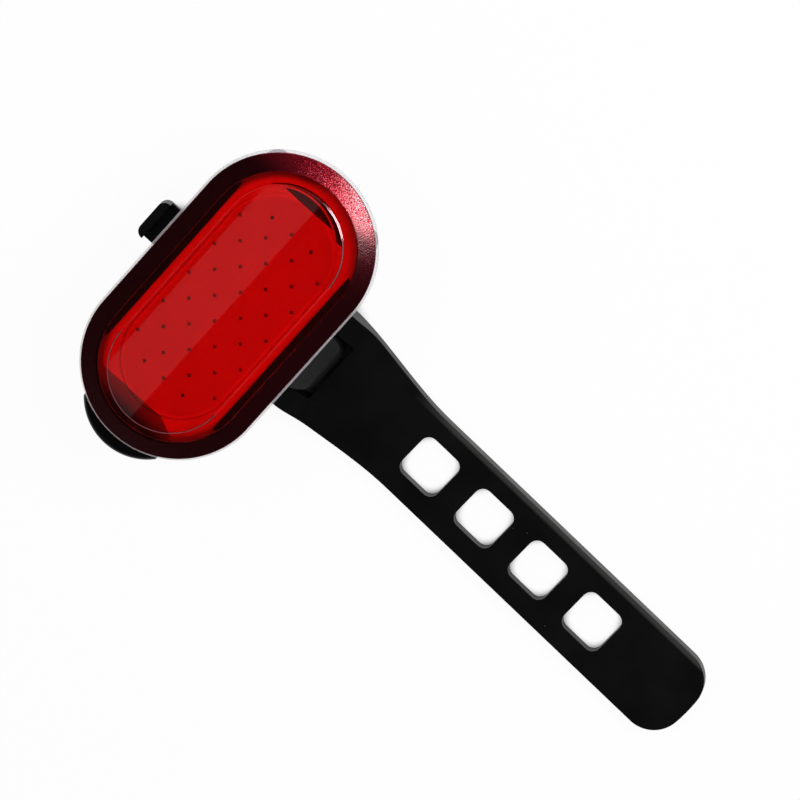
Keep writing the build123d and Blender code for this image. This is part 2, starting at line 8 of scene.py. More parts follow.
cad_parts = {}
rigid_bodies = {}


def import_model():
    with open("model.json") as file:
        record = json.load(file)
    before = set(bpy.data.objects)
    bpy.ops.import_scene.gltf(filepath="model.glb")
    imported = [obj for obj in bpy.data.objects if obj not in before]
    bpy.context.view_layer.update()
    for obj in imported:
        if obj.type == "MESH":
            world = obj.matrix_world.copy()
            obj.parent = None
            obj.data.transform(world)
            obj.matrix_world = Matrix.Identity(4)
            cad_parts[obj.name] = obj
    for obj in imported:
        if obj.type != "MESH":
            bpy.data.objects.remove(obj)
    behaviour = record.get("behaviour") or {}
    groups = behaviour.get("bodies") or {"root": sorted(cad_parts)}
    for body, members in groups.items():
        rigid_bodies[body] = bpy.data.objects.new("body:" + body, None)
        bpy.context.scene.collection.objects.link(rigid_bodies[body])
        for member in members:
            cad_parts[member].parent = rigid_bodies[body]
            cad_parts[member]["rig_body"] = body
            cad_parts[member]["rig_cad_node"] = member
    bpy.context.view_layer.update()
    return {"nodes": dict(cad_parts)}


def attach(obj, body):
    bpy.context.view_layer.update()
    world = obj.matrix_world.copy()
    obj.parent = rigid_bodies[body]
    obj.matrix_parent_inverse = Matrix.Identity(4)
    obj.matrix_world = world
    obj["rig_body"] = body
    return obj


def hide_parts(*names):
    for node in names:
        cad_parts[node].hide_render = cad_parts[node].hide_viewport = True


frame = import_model()
nodes = frame["nodes"]
mm = 0.001
print("frame loaded")

# Places that several pieces share, in millimetres
lamp = {
    "restLevel": 7.289,  # where the pad's lands and the strap lie
    "endCentre": 14.5,  # middle of each round end, along Y
    "pinX": 17.0,
    "pinLevel": 10.289,
}


# Small helpers for selecting and shaping


def clearSelection():
    if bpy.context.object and bpy.context.object.mode != "OBJECT":
        bpy.ops.object.mode_set(mode="OBJECT")
    bpy.ops.object.select_all(action="DESELECT")


def pickOnly(thing):
    clearSelection()
    thing.select_set(True)
    bpy.context.view_layer.objects.active = thing


def startEdit(thing, kind="FACE"):
    pickOnly(thing)
    bpy.ops.object.mode_set(mode="EDIT")
    bpy.ops.mesh.select_mode(type=kind)
    bpy.ops.mesh.select_all(action="DESELECT")


def selectFaces(thing, test):
    shape = bmesh.from_edit_mesh(thing.data)
    for face in shape.faces:
        face.select_set(bool(test(face.calc_center_median() / mm, face.normal)))
    bmesh.update_edit_mesh(thing.data)


def selectVerts(thing, test):
    shape = bmesh.from_edit_mesh(thing.data)
    for vert in shape.verts:
        vert.select_set(bool(test(vert.co / mm)))
    shape.select_flush(True)
    bmesh.update_edit_mesh(thing.data)


def moveUp(height):
    bpy.ops.mesh.extrude_region_move(TRANSFORM_OT_translate={"value": (0, 0, height * mm)})


def endEdit():
    bpy.ops.object.mode_set(mode="OBJECT")


def settle(thing, name):
    pickOnly(thing)
    bpy.ops.object.transform_apply(location=True, rotation=True, scale=True)
    thing.name = name
    thing.data.name = name
    return thing


def faceOut(thing):
    startEdit(thing)
    bpy.ops.mesh.select_all(action="SELECT")
    bpy.ops.mesh.remove_doubles(threshold=0.00001)
    bpy.ops.mesh.normals_make_consistent(inside=False)
    endEdit()


def useModifier(thing, kind, settings):
    pickOnly(thing)
    extra = thing.modifiers.new(kind.lower(), kind)
    for key, value in settings.items():
        setattr(extra, key, value)
    bpy.ops.object.modifier_apply(modifier=extra.name)


def softenEdges(thing, width, segments=2, angle=30):
    useModifier(thing, "BEVEL", {
        "width": width * mm, "segments": segments, "limit_method": "ANGLE",
        "angle_limit": math.radians(angle), "use_clamp_overlap": True,
        "harden_normals": False,
    })


def smoothFaces(thing, angle=30):
    pickOnly(thing)
    bpy.ops.object.shade_smooth_by_angle(angle=math.radians(angle))


def addBlock(name, low, high):
    clearSelection()
    middle = [(a + b) / 2 * mm for a, b in zip(low, high)]
    bpy.ops.mesh.primitive_cube_add(size=1, location=middle)
    block = bpy.context.object
    block.scale = [(b - a) * mm for a, b in zip(low, high)]
    return settle(block, name)


def addRod(name, radius, start, end, corners=48):
    clearSelection()
    a, b = Vector(start) * mm, Vector(end) * mm
    turn = (b - a).to_track_quat("Z", "Y").to_euler()
    bpy.ops.mesh.primitive_cylinder_add(
        vertices=corners, radius=radius * mm, depth=(b - a).length, location=(a + b) / 2, rotation=turn)
    return settle(bpy.context.object, name)


def addStadium(name, length, width, low, high, corners=96):
    clearSelection()
    bpy.ops.mesh.primitive_cylinder_add(
        vertices=corners, radius=width / 2 * mm, depth=(high - low) * mm,
        location=(0, 0, (low + high) / 2 * mm), rotation=(0, 0, math.pi / corners))
    stadium = settle(bpy.context.object, name)
    startEdit(stadium, "VERT")
    spreadEnds(stadium, (length - width) / 2)
    endEdit()
    return stadium


def spreadEnds(thing, distance, low=-1000, high=1000):
    for side in (-1, 1):  # each half goes out along Y, so the long sides stay straight
        bpy.ops.mesh.select_mode(type="VERT")
        selectVerts(thing, lambda place: place.y * side > 0 and low < place.z < high)
        bpy.ops.transform.translate(value=(0, side * distance * mm, 0))


def cutAway(thing, cutter, how="DIFFERENCE"):
    useModifier(thing, "BOOLEAN", {"operation": how, "solver": "EXACT", "object": cutter})
    pickOnly(cutter)
    bpy.ops.object.delete()


def copyOfNode(nodeName, name, edge=0.0, segments=2):
    source = nodes[nodeName]
    clearSelection()
    source.select_set(True)
    bpy.context.view_layer.objects.active = source
    bpy.ops.object.duplicate()
    copy = bpy.context.object
    copy.name = name
    copy.data.name = name
    startEdit(copy, "VERT")
    bpy.ops.mesh.select_all(action="SELECT")
    bpy.ops.mesh.remove_doubles(threshold=0.000005)
    bpy.ops.mesh.dissolve_limited(angle_limit=math.radians(1.0))
    endEdit()
    if edge:
        softenEdges(copy, edge, segments)
    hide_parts(nodeName)
    return copy


def outlineSolid(name, loops, low, high, edge=0.0, steps=12, upright=False):
    flat = bpy.data.curves.new(name, "CURVE")
    flat.dimensions = "2D"
    flat.fill_mode = "BOTH"
    flat.resolution_u = steps
    for loop in loops:
        line = flat.splines.new("BEZIER")
        line.bezier_points.add(len(loop) - 1)
        for point, (before, place, after) in zip(line.bezier_points, loop):
            point.handle_left_type = point.handle_right_type = "FREE"
            point.co = (place[0] * mm, place[1] * mm, 0)
            point.handle_left = (before[0] * mm, before[1] * mm, 0)
            point.handle_right = (after[0] * mm, after[1] * mm, 0)
        line.use_cyclic_u = True
    flat.extrude = ((high - low) / 2 - edge) * mm
    flat.bevel_depth = edge * mm
    flat.bevel_resolution = 2
    flat.offset = -edge * mm
    solid = bpy.data.objects.new(name, flat)
    bpy.context.scene.collection.objects.link(solid)
    if upright:  # the outline is drawn in X and Z, and the height runs along Y
        solid.rotation_euler = (math.radians(90), 0, 0)
        solid.location = (0, (low + high) / 2 * mm, 0)
    else:
        solid.location = (0, 0, (low + high) / 2 * mm)
    pickOnly(solid)
    bpy.ops.object.convert(target="MESH")
    solid = settle(bpy.context.object, name)
    faceOut(solid)
    return solid


# A rounded rectangle's points for such an outline, turned about its middle
def roundedLoop(middle, width, height, corner, turn=0.0):
    reach = corner * 0.5523
    loop = []
    for sx, sy in ((1, -1), (1, 1), (-1, 1), (-1, -1)):
        x, y = sx * width / 2, sy * height / 2
        alongY = ((x, y - sy * corner), (x, y - sy * (corner - reach)))
        alongX = ((x - sx * corner, y), (x - sx * (corner - reach), y))
        first, last = (alongX, alongY) if sx == -sy else (alongY, alongX)
        loop.append((first[0], first[0], first[1]))
        loop.append((last[1], last[0], last[0]))
    c, d = math.cos(turn), math.sin(turn)
    return [tuple((middle[0] + x * c - y * d, middle[1] + x * d + y * c) for x, y in point) for point in loop]


def sharp(x, y):
    return ((x, y), (x, y), (x, y))


# Camera: the photograph's own place, far off with a long lens
view = {
    "place": (-2.54, 331.1, 1436.15),  # mm
    "right": (0.74499, 0.65425, -0.13020),
    "up": (-0.66659, 0.72264, -0.18292),
    "back": (-0.02560, 0.22310, 0.97450),
    "focal": 360.0,
    "sensor": 36.0,
}
cameraData = bpy.data.cameras.new("photoCamera")
cameraData.lens = view["focal"]
cameraData.sensor_width = view["sensor"]
cameraData.clip_end = 10
camera = bpy.data.objects.new("photoCamera", cameraData)
bpy.context.scene.collection.objects.link(camera)
turned = Matrix((view["right"], view["up"], view["back"])).transposed().to_4x4()
camera.matrix_world = Matrix.Translation(Vector(view["place"]) * mm) @ turned
bpy.context.scene.camera = camera
bpy.context.scene.view_settings.view_transform = "Standard"
print("camera placed")


# Materials: colours are written as sRGB hex, and patterns in millimetres


def fromHex(text):
    parts = [int(text[i:i + 2], 16) / 255 for i in (1, 3, 5)]
    return tuple(c / 12.92 if c <= 0.04045 else ((c + 0.055) / 1.055) ** 2.4 for c in parts) + (1.0,)


def addNode(tree, kind, settings=None, links=None):
    node = tree.nodes.new(kind)
    for key, value in (settings or {}).items():
        if isinstance(key, int) or key in node.inputs.keys():
            node.inputs[key].default_value = value
        else:
            setattr(node, key, value)
    for key, source in (links or {}).items():
        tree.links.new(source, node.inputs[key])
    return node


def newMaterial(name):
    material = bpy.data.materials.new(name)
    material.use_nodes = True
    tree = material.node_tree
    tree.nodes.clear()
    return material, tree


def scaleFor(size):
    return 1 / (size * mm)  # a pattern's cells per metre, from their size in millimetres


# A surface with a fine grain in its height, a slow drift in its roughness and a slight mottle
def mouldedMaterial(name, look, paint=None):
    material, tree = newMaterial(name)
    place = addNode(tree, "ShaderNodeTexCoord").outputs["Object"]
    grain = addNode(tree, "ShaderNodeTexNoise", {
        "Scale": scaleFor(look["grain"]), "Detail": 3.0, "Roughness": 0.55}, {"Vector": place})
    drift = addNode(tree, "ShaderNodeTexNoise", {"Scale": scaleFor(look["drift"]), "Detail": 2.0}, {"Vector": place})
    mottle = addNode(tree, "ShaderNodeMix", {
        "data_type": "RGBA", 6: fromHex(look["colour"]), 7: fromHex(look["second"])},
        {0: drift.outputs["Fac"]})
    rough = addNode(tree, "ShaderNodeMapRange", {
        "From Min": 0.3, "From Max": 0.7,
        "To Min": look["roughness"] - look["wander"], "To Max": look["roughness"] + look["wander"]},
        {"Value": drift.outputs["Fac"]})
    bump = addNode(tree, "ShaderNodeBump", {
        "Strength": look["relief"], "Distance": look["depth"] * mm}, {"Height": grain.outputs["Fac"]})
    colour = mottle.outputs[2]
    if "flecks" in look:  # a few specks of dust that cling to rubber
        cells = addNode(tree, "ShaderNodeTexVoronoi", {"Scale": scaleFor(look["fleckPitch"])}, {"Vector": place})
        spot = addNode(tree, "ShaderNodeMapRange", {
            "From Min": look["fleckSize"], "From Max": look["fleckSize"] * 0.4, "To Max": look["flecks"]},
            {"Value": cells.outputs["Distance"]})
        dustAndLitEdge = addNode(tree, "ShaderNodeMix", {"data_type": "RGBA", 7: fromHex("#8a8a86")},
                        {0: spot.outputs["Result"], 6: colour})
        colour = dustAndLitEdge.outputs[2]
    if paint:
        colour = paint(tree, place, colour)
    shader = addNode(tree, "ShaderNodeBsdfPrincipled", {
        "IOR": look["ior"], "Specular IOR Level": look.get("shine", 0.5), "Metallic": look.get("metallic", 0.0)},
        {"Base Color": colour, "Roughness": rough.outputs["Result"], "Normal": bump.outputs["Normal"]})
    addNode(tree, "ShaderNodeOutputMaterial", None, {"Surface": shader.outputs["BSDF"]})
    return material


# Red polycarbonate, polished or with the fine sparkle of a textured mould, that lets lamps through
def tintedMaterial(name, look):
    material, tree = newMaterial(name)
    place = addNode(tree, "ShaderNodeTexCoord").outputs["Object"]
    ripple = addNode(tree, "ShaderNodeTexNoise", {
        "Scale": scaleFor(look["grain"]), "Detail": 2.0}, {"Vector": place})
    bump = addNode(tree, "ShaderNodeBump", {
        "Strength": look["relief"], "Distance": look["depth"] * mm}, {"Height": ripple.outputs["Fac"]})
    glass = addNode(tree, "ShaderNodeBsdfPrincipled", {
        "Base Color": fromHex(look["colour"]), "IOR": look["ior"], "Roughness": look["roughness"],
        "Transmission Weight": look.get("clear", 1.0), "Alpha": look.get("alpha", 1.0)},
        {"Normal": bump.outputs["Normal"]})
    through = addNode(tree, "ShaderNodeBsdfTransparent", {"Color": fromHex(look["shadow"])})
    path = addNode(tree, "ShaderNodeLightPath")
    both = addNode(tree, "ShaderNodeMixShader", None, {
        0: path.outputs["Is Shadow Ray"], 1: glass.outputs["BSDF"], 2: through.outputs["BSDF"]})
    addNode(tree, "ShaderNodeOutputMaterial", None, {"Surface": both.outputs["Shader"]})
    return material


finishes = {
    # polished injection-moulded polycarbonate: deep red, sharp reflections
    "lensPolished": {"colour": "#db161c", "shadow": "#ed565c", "ior": 1.58, "roughness": 0.012,
                     "grain": 9.0, "relief": 0.03, "depth": 0.02},
    # clear acrylic with a faint lilac cast, drawn partly see-through: the light line round the side
    "ringAcrylic": {"colour": "#fcfaff", "shadow": "#faf7fc", "ior": 1.49, "roughness": 0.2,
                    "grain": 0.4, "relief": 0.15, "depth": 0.02, "clear": 0.15, "alpha": 0.35},
}
moulded = {
    # ABS from a lightly eroded mould: satin black with a soft sheen
    "housingAbs": {"colour": "#060607", "second": "#0a0a0b", "ior": 1.5, "roughness": 0.36, "wander": 0.05,
                   "grain": 0.16, "drift": 7.0, "relief": 0.35, "depth": 0.02},
    # glass-filled nylon: harder and a little greyer than the housing, with visible grain
    "bracketNylon": {"colour": "#0a0a0b", "second": "#101011", "ior": 1.53, "roughness": 0.4, "wander": 0.06,
                     "grain": 0.2, "drift": 5.0, "relief": 0.45, "depth": 0.025},
    # silicone rubber: matt, faintly velvety, and it gathers dust
    "strapSilicone": {"colour": "#040404", "second": "#070707", "ior": 1.41, "roughness": 0.46, "wander": 0.06,
                      "grain": 0.22, "drift": 9.0, "relief": 0.3, "depth": 0.02, "shine": 0.3,
                      "flecks": 0.5, "fleckPitch": 4.2, "fleckSize": 0.022},
    "padSilicone": {"colour": "#080808", "second": "#0d0d0d", "ior": 1.41, "roughness": 0.6, "wander": 0.06,
                    "grain": 0.25, "drift": 8.0, "relief": 0.4, "depth": 0.02, "shine": 0.3},
    "buttonSilicone": {"colour": "#050505", "second": "#080808", "ior": 1.41, "roughness": 0.42, "wander": 0.05,
                       "grain": 0.18, "drift": 6.0, "relief": 0.3, "depth": 0.02, "shine": 0.35},
    "sealSilicone": {"colour": "#2a2a2c", "second": "#333335", "ior": 1.41, "roughness": 0.55, "wander": 0.05,
                     "grain": 0.2, "drift": 6.0, "relief": 0.3, "depth": 0.02},
    # opal acrylic: an even, pale, slightly silky diffuser
    "diffuserOpal": {"colour": "#dccecc", "second": "#e4d8d6", "ior": 1.49, "roughness": 0.4, "wander": 0.05,
                     "grain": 0.3, "drift": 8.0, "relief": 0.2, "depth": 0.02},
    # glossy white ABS: reflects the light back into the lens
    "trayAbs": {"colour": "#eeeeea", "second": "#f4f4f1", "ior": 1.5, "roughness": 0.3, "wander": 0.04,
                "grain": 0.2, "drift": 6.0, "relief": 0.2, "depth": 0.015},
    "railAbs": {"colour": "#060606", "second": "#0a0a0a", "ior": 1.5, "roughness": 0.4, "wander": 0.04,
                "grain": 0.2, "drift": 5.0, "relief": 0.2, "depth": 0.015},
    # glass-epoxy laminate under green solder resist: glossy, with the weave just felt
    "boardEpoxy": {"colour": "#0f4a2c", "second": "#145636", "ior": 1.55, "roughness": 0.3, "wander": 0.05,
                   "grain": 0.5, "drift": 2.5, "relief": 0.3, "depth": 0.02},
    # phosphor resin in a white pocket: waxy yellow
    "ledResin": {"colour": "#e9d98a", "second": "#f2e7b0", "ior": 1.5, "roughness": 0.35, "wander": 0.05,
                 "grain": 0.1, "drift": 0.8, "relief": 0.2, "depth": 0.01},
    # moulded epoxy: flat charcoal, slightly stippled
    "chipEpoxy": {"colour": "#1b1b1d", "second": "#242426", "ior": 1.55, "roughness": 0.55, "wander": 0.05,
                  "grain": 0.08, "drift": 1.5, "relief": 0.4, "depth": 0.01},
    # aluminium laminate of a pouch cell: satin, slightly crinkled
    "cellLaminate": {"colour": "#b4b8be", "second": "#c6cacf", "ior": 1.5, "roughness": 0.34, "wander": 0.08,
                     "grain": 1.6, "drift": 6.0, "relief": 0.4, "depth": 0.05, "metallic": 0.9},
    # closed-cell polyethylene foam: dull grey, with open cells on its cut faces
    "cellFoam": {"colour": "#4c4c50", "second": "#5a5a5f", "ior": 1.45, "roughness": 0.85, "wander": 0.05,
                 "grain": 0.35, "drift": 4.0, "relief": 0.9, "depth": 0.08},
    # nickel strip: rolled, soft grey metal
    "tabNickel": {"colour": "#b9b2a4", "second": "#c8c2b6", "ior": 1.5, "roughness": 0.28, "wander": 0.08,
                  "grain": 0.3, "drift": 2.0, "relief": 0.2, "depth": 0.01, "metallic": 1.0},
    # drawn stainless steel of the socket and the pin
    "socketSteel": {"colour": "#a9abb0", "second": "#bcbec3", "ior": 1.5, "roughness": 0.24, "wander": 0.06,
                    "grain": 0.15, "drift": 2.0, "relief": 0.2, "depth": 0.01, "metallic": 1.0},
    "pinSteel": {"colour": "#9c9ea3", "second": "#b0b2b6", "ior": 1.5, "roughness": 0.3, "wander": 0.06,
                 "grain": 0.2, "drift": 3.0, "relief": 0.25, "depth": 0.01, "metallic": 1.0},
    # black-zinc screws: dark metal, worn a little brighter in patches
    "screwSteel": {"colour": "#2c2d30", "second": "#4a4b50", "ior": 1.5, "roughness": 0.36, "wander": 0.08,
                   "grain": 0.12, "drift": 1.2, "relief": 0.3, "depth": 0.01, "metallic": 1.0},
    "tongueNylon": {"colour": "#141416", "second": "#1b1b1d", "ior": 1.53, "roughness": 0.45, "wander": 0.05,
                    "grain": 0.1, "drift": 1.5, "relief": 0.2, "depth": 0.01},
    "switchNylon": {"colour": "#26262a", "second": "#303034", "ior": 1.53, "roughness": 0.42, "wander": 0.05,
                    "grain": 0.15, "drift": 2.0, "relief": 0.25, "depth": 0.01},
    "plungerAcetal": {"colour": "#d9d6cc", "second": "#e4e1d8", "ior": 1.48, "roughness": 0.38, "wander": 0.05,
                      "grain": 0.15, "drift": 1.5, "relief": 0.2, "depth": 0.01},
}


# The lens's bevel: clear plastic over an eroded, glittering underside that throws back red; its brighter red at the
# +Y end and its pale glints are painted highlights
def bevelMaterial(name, look):
    material, tree = newMaterial(name)
    place = addNode(tree, "ShaderNodeTexCoord").outputs["Object"]
    grit = addNode(tree, "ShaderNodeTexVoronoi", {"Scale": scaleFor(look["grit"])}, {"Vector": place})
    fine = addNode(tree, "ShaderNodeTexNoise", {"Scale": scaleFor(look["fine"]), "Detail": 4.0}, {"Vector": place})
    height = addNode(tree, "ShaderNodeMath", {"operation": "ADD"},
                     {0: grit.outputs["Distance"], 1: fine.outputs["Fac"]})
    bump = addNode(tree, "ShaderNodeBump", {
        "Strength": look["relief"], "Distance": look["depth"] * mm}, {"Height": height.outputs[0]})
    # painted by place, to follow the photograph's light: redder at the +Y end
    along = addNode(tree, "ShaderNodeVectorMath", {
        "operation": "DOT_PRODUCT", 1: look["redWay"]}, {0: place})
    share = addNode(tree, "ShaderNodeMapRange", {
        "interpolation_type": "SMOOTHSTEP", "From Min": look["redFrom"] * mm, "From Max": look["redTo"] * mm},
        {"Value": along.outputs["Value"]})
    paintedRedHighlight = addNode(tree, "ShaderNodeMix", {
        "data_type": "RGBA", 6: fromHex(look["colour"]), 7: fromHex(look["bright"])}, {0: share.outputs["Result"]})
    # pale glints painted by place too, so they stay when the light or the view changes
    toward = addNode(tree, "ShaderNodeVectorMath", {"operation": "DOT_PRODUCT", 1: look["glintWay"]}, {0: place})
    lit = addNode(tree, "ShaderNodeMapRange", {
        "From Min": look["glintFrom"] * mm, "From Max": look["glintTo"] * mm}, {"Value": toward.outputs["Value"]})
    spark = addNode(tree, "ShaderNodeMapRange", {
        "From Min": look["sparkFrom"], "From Max": look["sparkTo"]}, {"Value": fine.outputs["Fac"]})
    near = addNode(tree, "ShaderNodeMath", {"operation": "MULTIPLY"},
                   {0: lit.outputs["Result"], 1: share.outputs["Result"]})
    glint = addNode(tree, "ShaderNodeMath", {"operation": "MULTIPLY"},
                    {0: near.outputs[0], 1: spark.outputs["Result"]})
    speckled = addNode(tree, "ShaderNodeMix", {"data_type": "RGBA", 7: fromHex(look["glint"])},
                       {0: glint.outputs[0], 6: paintedRedHighlight.outputs[2]})
    # each grain of the eroded mould leans its own way
    grains = addNode(tree, "ShaderNodeTexVoronoi", {"Scale": scaleFor(look["grainSize"])}, {"Vector": place})
    lean = addNode(tree, "ShaderNodeVectorMath", {
        "operation": "MULTIPLY_ADD", 1: (look["lean"],) * 3, 2: (-look["lean"] / 2,) * 3},
        {0: grains.outputs["Color"]})
    shown = addNode(tree, "ShaderNodeVectorMath", {"operation": "SCALE"},
                    {0: lean.outputs["Vector"], "Scale": share.outputs["Result"]})
    tilted = addNode(tree, "ShaderNodeVectorMath", {"operation": "ADD"},
                     {0: bump.outputs["Normal"], 1: shown.outputs["Vector"]})
    facing = addNode(tree, "ShaderNodeVectorMath", {"operation": "NORMALIZE"}, {0: tilted.outputs["Vector"]})
    shader = addNode(tree, "ShaderNodeBsdfPrincipled", {
        "Metallic": look["metallic"], "Roughness": look["roughness"],
        "Coat Weight": look["coat"], "Coat Roughness": look["coatRoughness"], "Coat IOR": look["ior"]},
        {"Base Color": speckled.outputs[2], "Normal": facing.outputs["Vector"],
         "Coat Normal": facing.outputs["Vector"]})
    addNode(tree, "ShaderNodeOutputMaterial", None, {"Surface": shader.outputs["BSDF"]})
    return material


# directions are in the lamp's own X and Y, and where each share starts and ends is in millimetres
bevelLook = {
    "colour": "#480a14", "bright": "#a6182c", "redWay": (-0.1, 0.995, 0), "redFrom": 24.0, "redTo": 29.5,
    "glint": "#c0989c", "glintWay": (0.6, 0.8, 0), "glintFrom": 24.2, "glintTo": 27.5,
    "sparkFrom": 0.48, "sparkTo": 0.62, "metallic": 0.9, "roughness": 0.36, "grainSize": 0.16, "lean": 0.3,
    "coat": 0.4, "coatRoughness": 0.1, "ior": 1.58, "grit": 0.24, "fine": 0.2, "relief": 1.0, "depth": 0.025,
}
made = {name: tintedMaterial(name, look) for name, look in finishes.items()}
made["lensSparkled"] = bevelMaterial("lensSparkled", bevelLook)
# the window's corner where it shows a hairline: pale and mirror-like, a painted highlight
made["lensGlint"] = bevelMaterial("lensGlint", {
    **bevelLook, "colour": "#c8606c", "bright": "#f0a8b0", "redFrom": 10.0, "redTo": 20.0, "glint": "#f0a8b0",
    "metallic": 1.0, "roughness": 0.08, "coatRoughness": 0.03, "coat": 1.0, "grainSize": 1.0, "lean": 0.0,
    "grit": 1.0, "fine": 1.0, "relief": 0.02, "depth": 0.01})
made.update({name: mouldedMaterial(name, look) for name, look in moulded.items()})
pits = {
    "pitchX": 6.23, "pitchY": 7.14, "level": 26.1, "colour": "#3c0a0a", "centre": "#a05a55",
    "wallFrom": 0.022, "wallTo": 0.045, "spine": 13.4, "edge": "#fffaf8", "edgeFrom": 10.1, "edgeTo": 10.6,
}


# The panel's pits are painted darker than the panel, a painted shade in the recesses: darkest round their sides and
# paler in the middle
def paintPits(tree, place, colour):
    slants = []
    for side in (-1, 1):
        slant = addNode(tree, "ShaderNodeVectorMath", {
            "operation": "DOT_PRODUCT", 1: (side * scaleFor(pits["pitchX"]), scaleFor(pits["pitchY"]), 0)},
            {0: place})
        shifted = addNode(tree, "ShaderNodeMath", {"operation": "ADD", 1: 0.5}, {0: slant.outputs["Value"]})
        slants.append(addNode(tree, "ShaderNodeMath", {"operation": "PINGPONG", 1: 0.5}, {0: shifted.outputs[0]}))
    ring = addNode(tree, "ShaderNodeMath", {"operation": "MAXIMUM"},
                   {0: slants[0].outputs[0], 1: slants[1].outputs[0]})
    split = addNode(tree, "ShaderNodeSeparateXYZ", None, {0: place})
    sunk = addNode(tree, "ShaderNodeMath", {"operation": "LESS_THAN", 1: pits["level"] * mm}, {0: split.outputs["Z"]})
    rim = addNode(tree, "ShaderNodeMapRange", {
        "From Min": pits["wallFrom"], "From Max": pits["wallTo"]}, {"Value": ring.outputs[0]})
    inside = addNode(tree, "ShaderNodeMix", {
        "data_type": "RGBA", 6: fromHex(pits["centre"]), 7: fromHex(pits["colour"])}, {0: rim.outputs["Result"]})
    whole = addNode(tree, "ShaderNodeMix", {"data_type": "RGBA"},
                    {0: sunk.outputs[0], 6: colour, 7: inside.outputs[2]})
    # the round of its edge, painted brighter: a painted highlight
    out = addNode(tree, "ShaderNodeVectorMath", {"operation": "ABSOLUTE"}, {0: place})
    cornered = addNode(tree, "ShaderNodeVectorMath", {
        "operation": "SUBTRACT", 1: (0, pits["spine"] * mm, 1.0)}, {0: out.outputs["Vector"]})
    clamped = addNode(tree, "ShaderNodeVectorMath", {"operation": "MAXIMUM", 1: (0, 0, 0)},
                    {0: cornered.outputs["Vector"]})
    reach = addNode(tree, "ShaderNodeVectorMath", {"operation": "LENGTH"}, {0: clamped.outputs["Vector"]})
    edge = addNode(tree, "ShaderNodeMapRange", {
        "From Min": pits["edgeFrom"] * mm, "From Max": pits["edgeTo"] * mm}, {"Value": reach.outputs["Value"]})
    rimmed = addNode(tree, "ShaderNodeMix", {"data_type": "RGBA", 7: fromHex(pits["edge"])},
                     {0: edge.outputs["Result"], 6: whole.outputs[2]})
    return paintEnds(tree, place, rimmed.outputs[2])


# Dark patches and bands painted on the panel and the tray by place, as the photograph shows them
ends = {
    "lineY": 23.5, "lowX": -10.0, "bendX": 4.2, "slope": 0.45, "near": "#8c4048", "far": "#180a0c",
    "patchFrom": -24.0, "patchTo": -27.2, "crescentY": 22.3,
    "shade": "#8a5c58", "bandFrom": 12.4, "bandTo": 13.4, "awayWay": (0.85, 0.5, 0), "awayFrom": 15.0, "awayTo": 10.0,
    "crescent": "#3a1418", "lines": ((-0.9, 14.6, 10.6), (-0.9, 14.6, 10.95), (-0.3, 15.3, 11.05)),
}


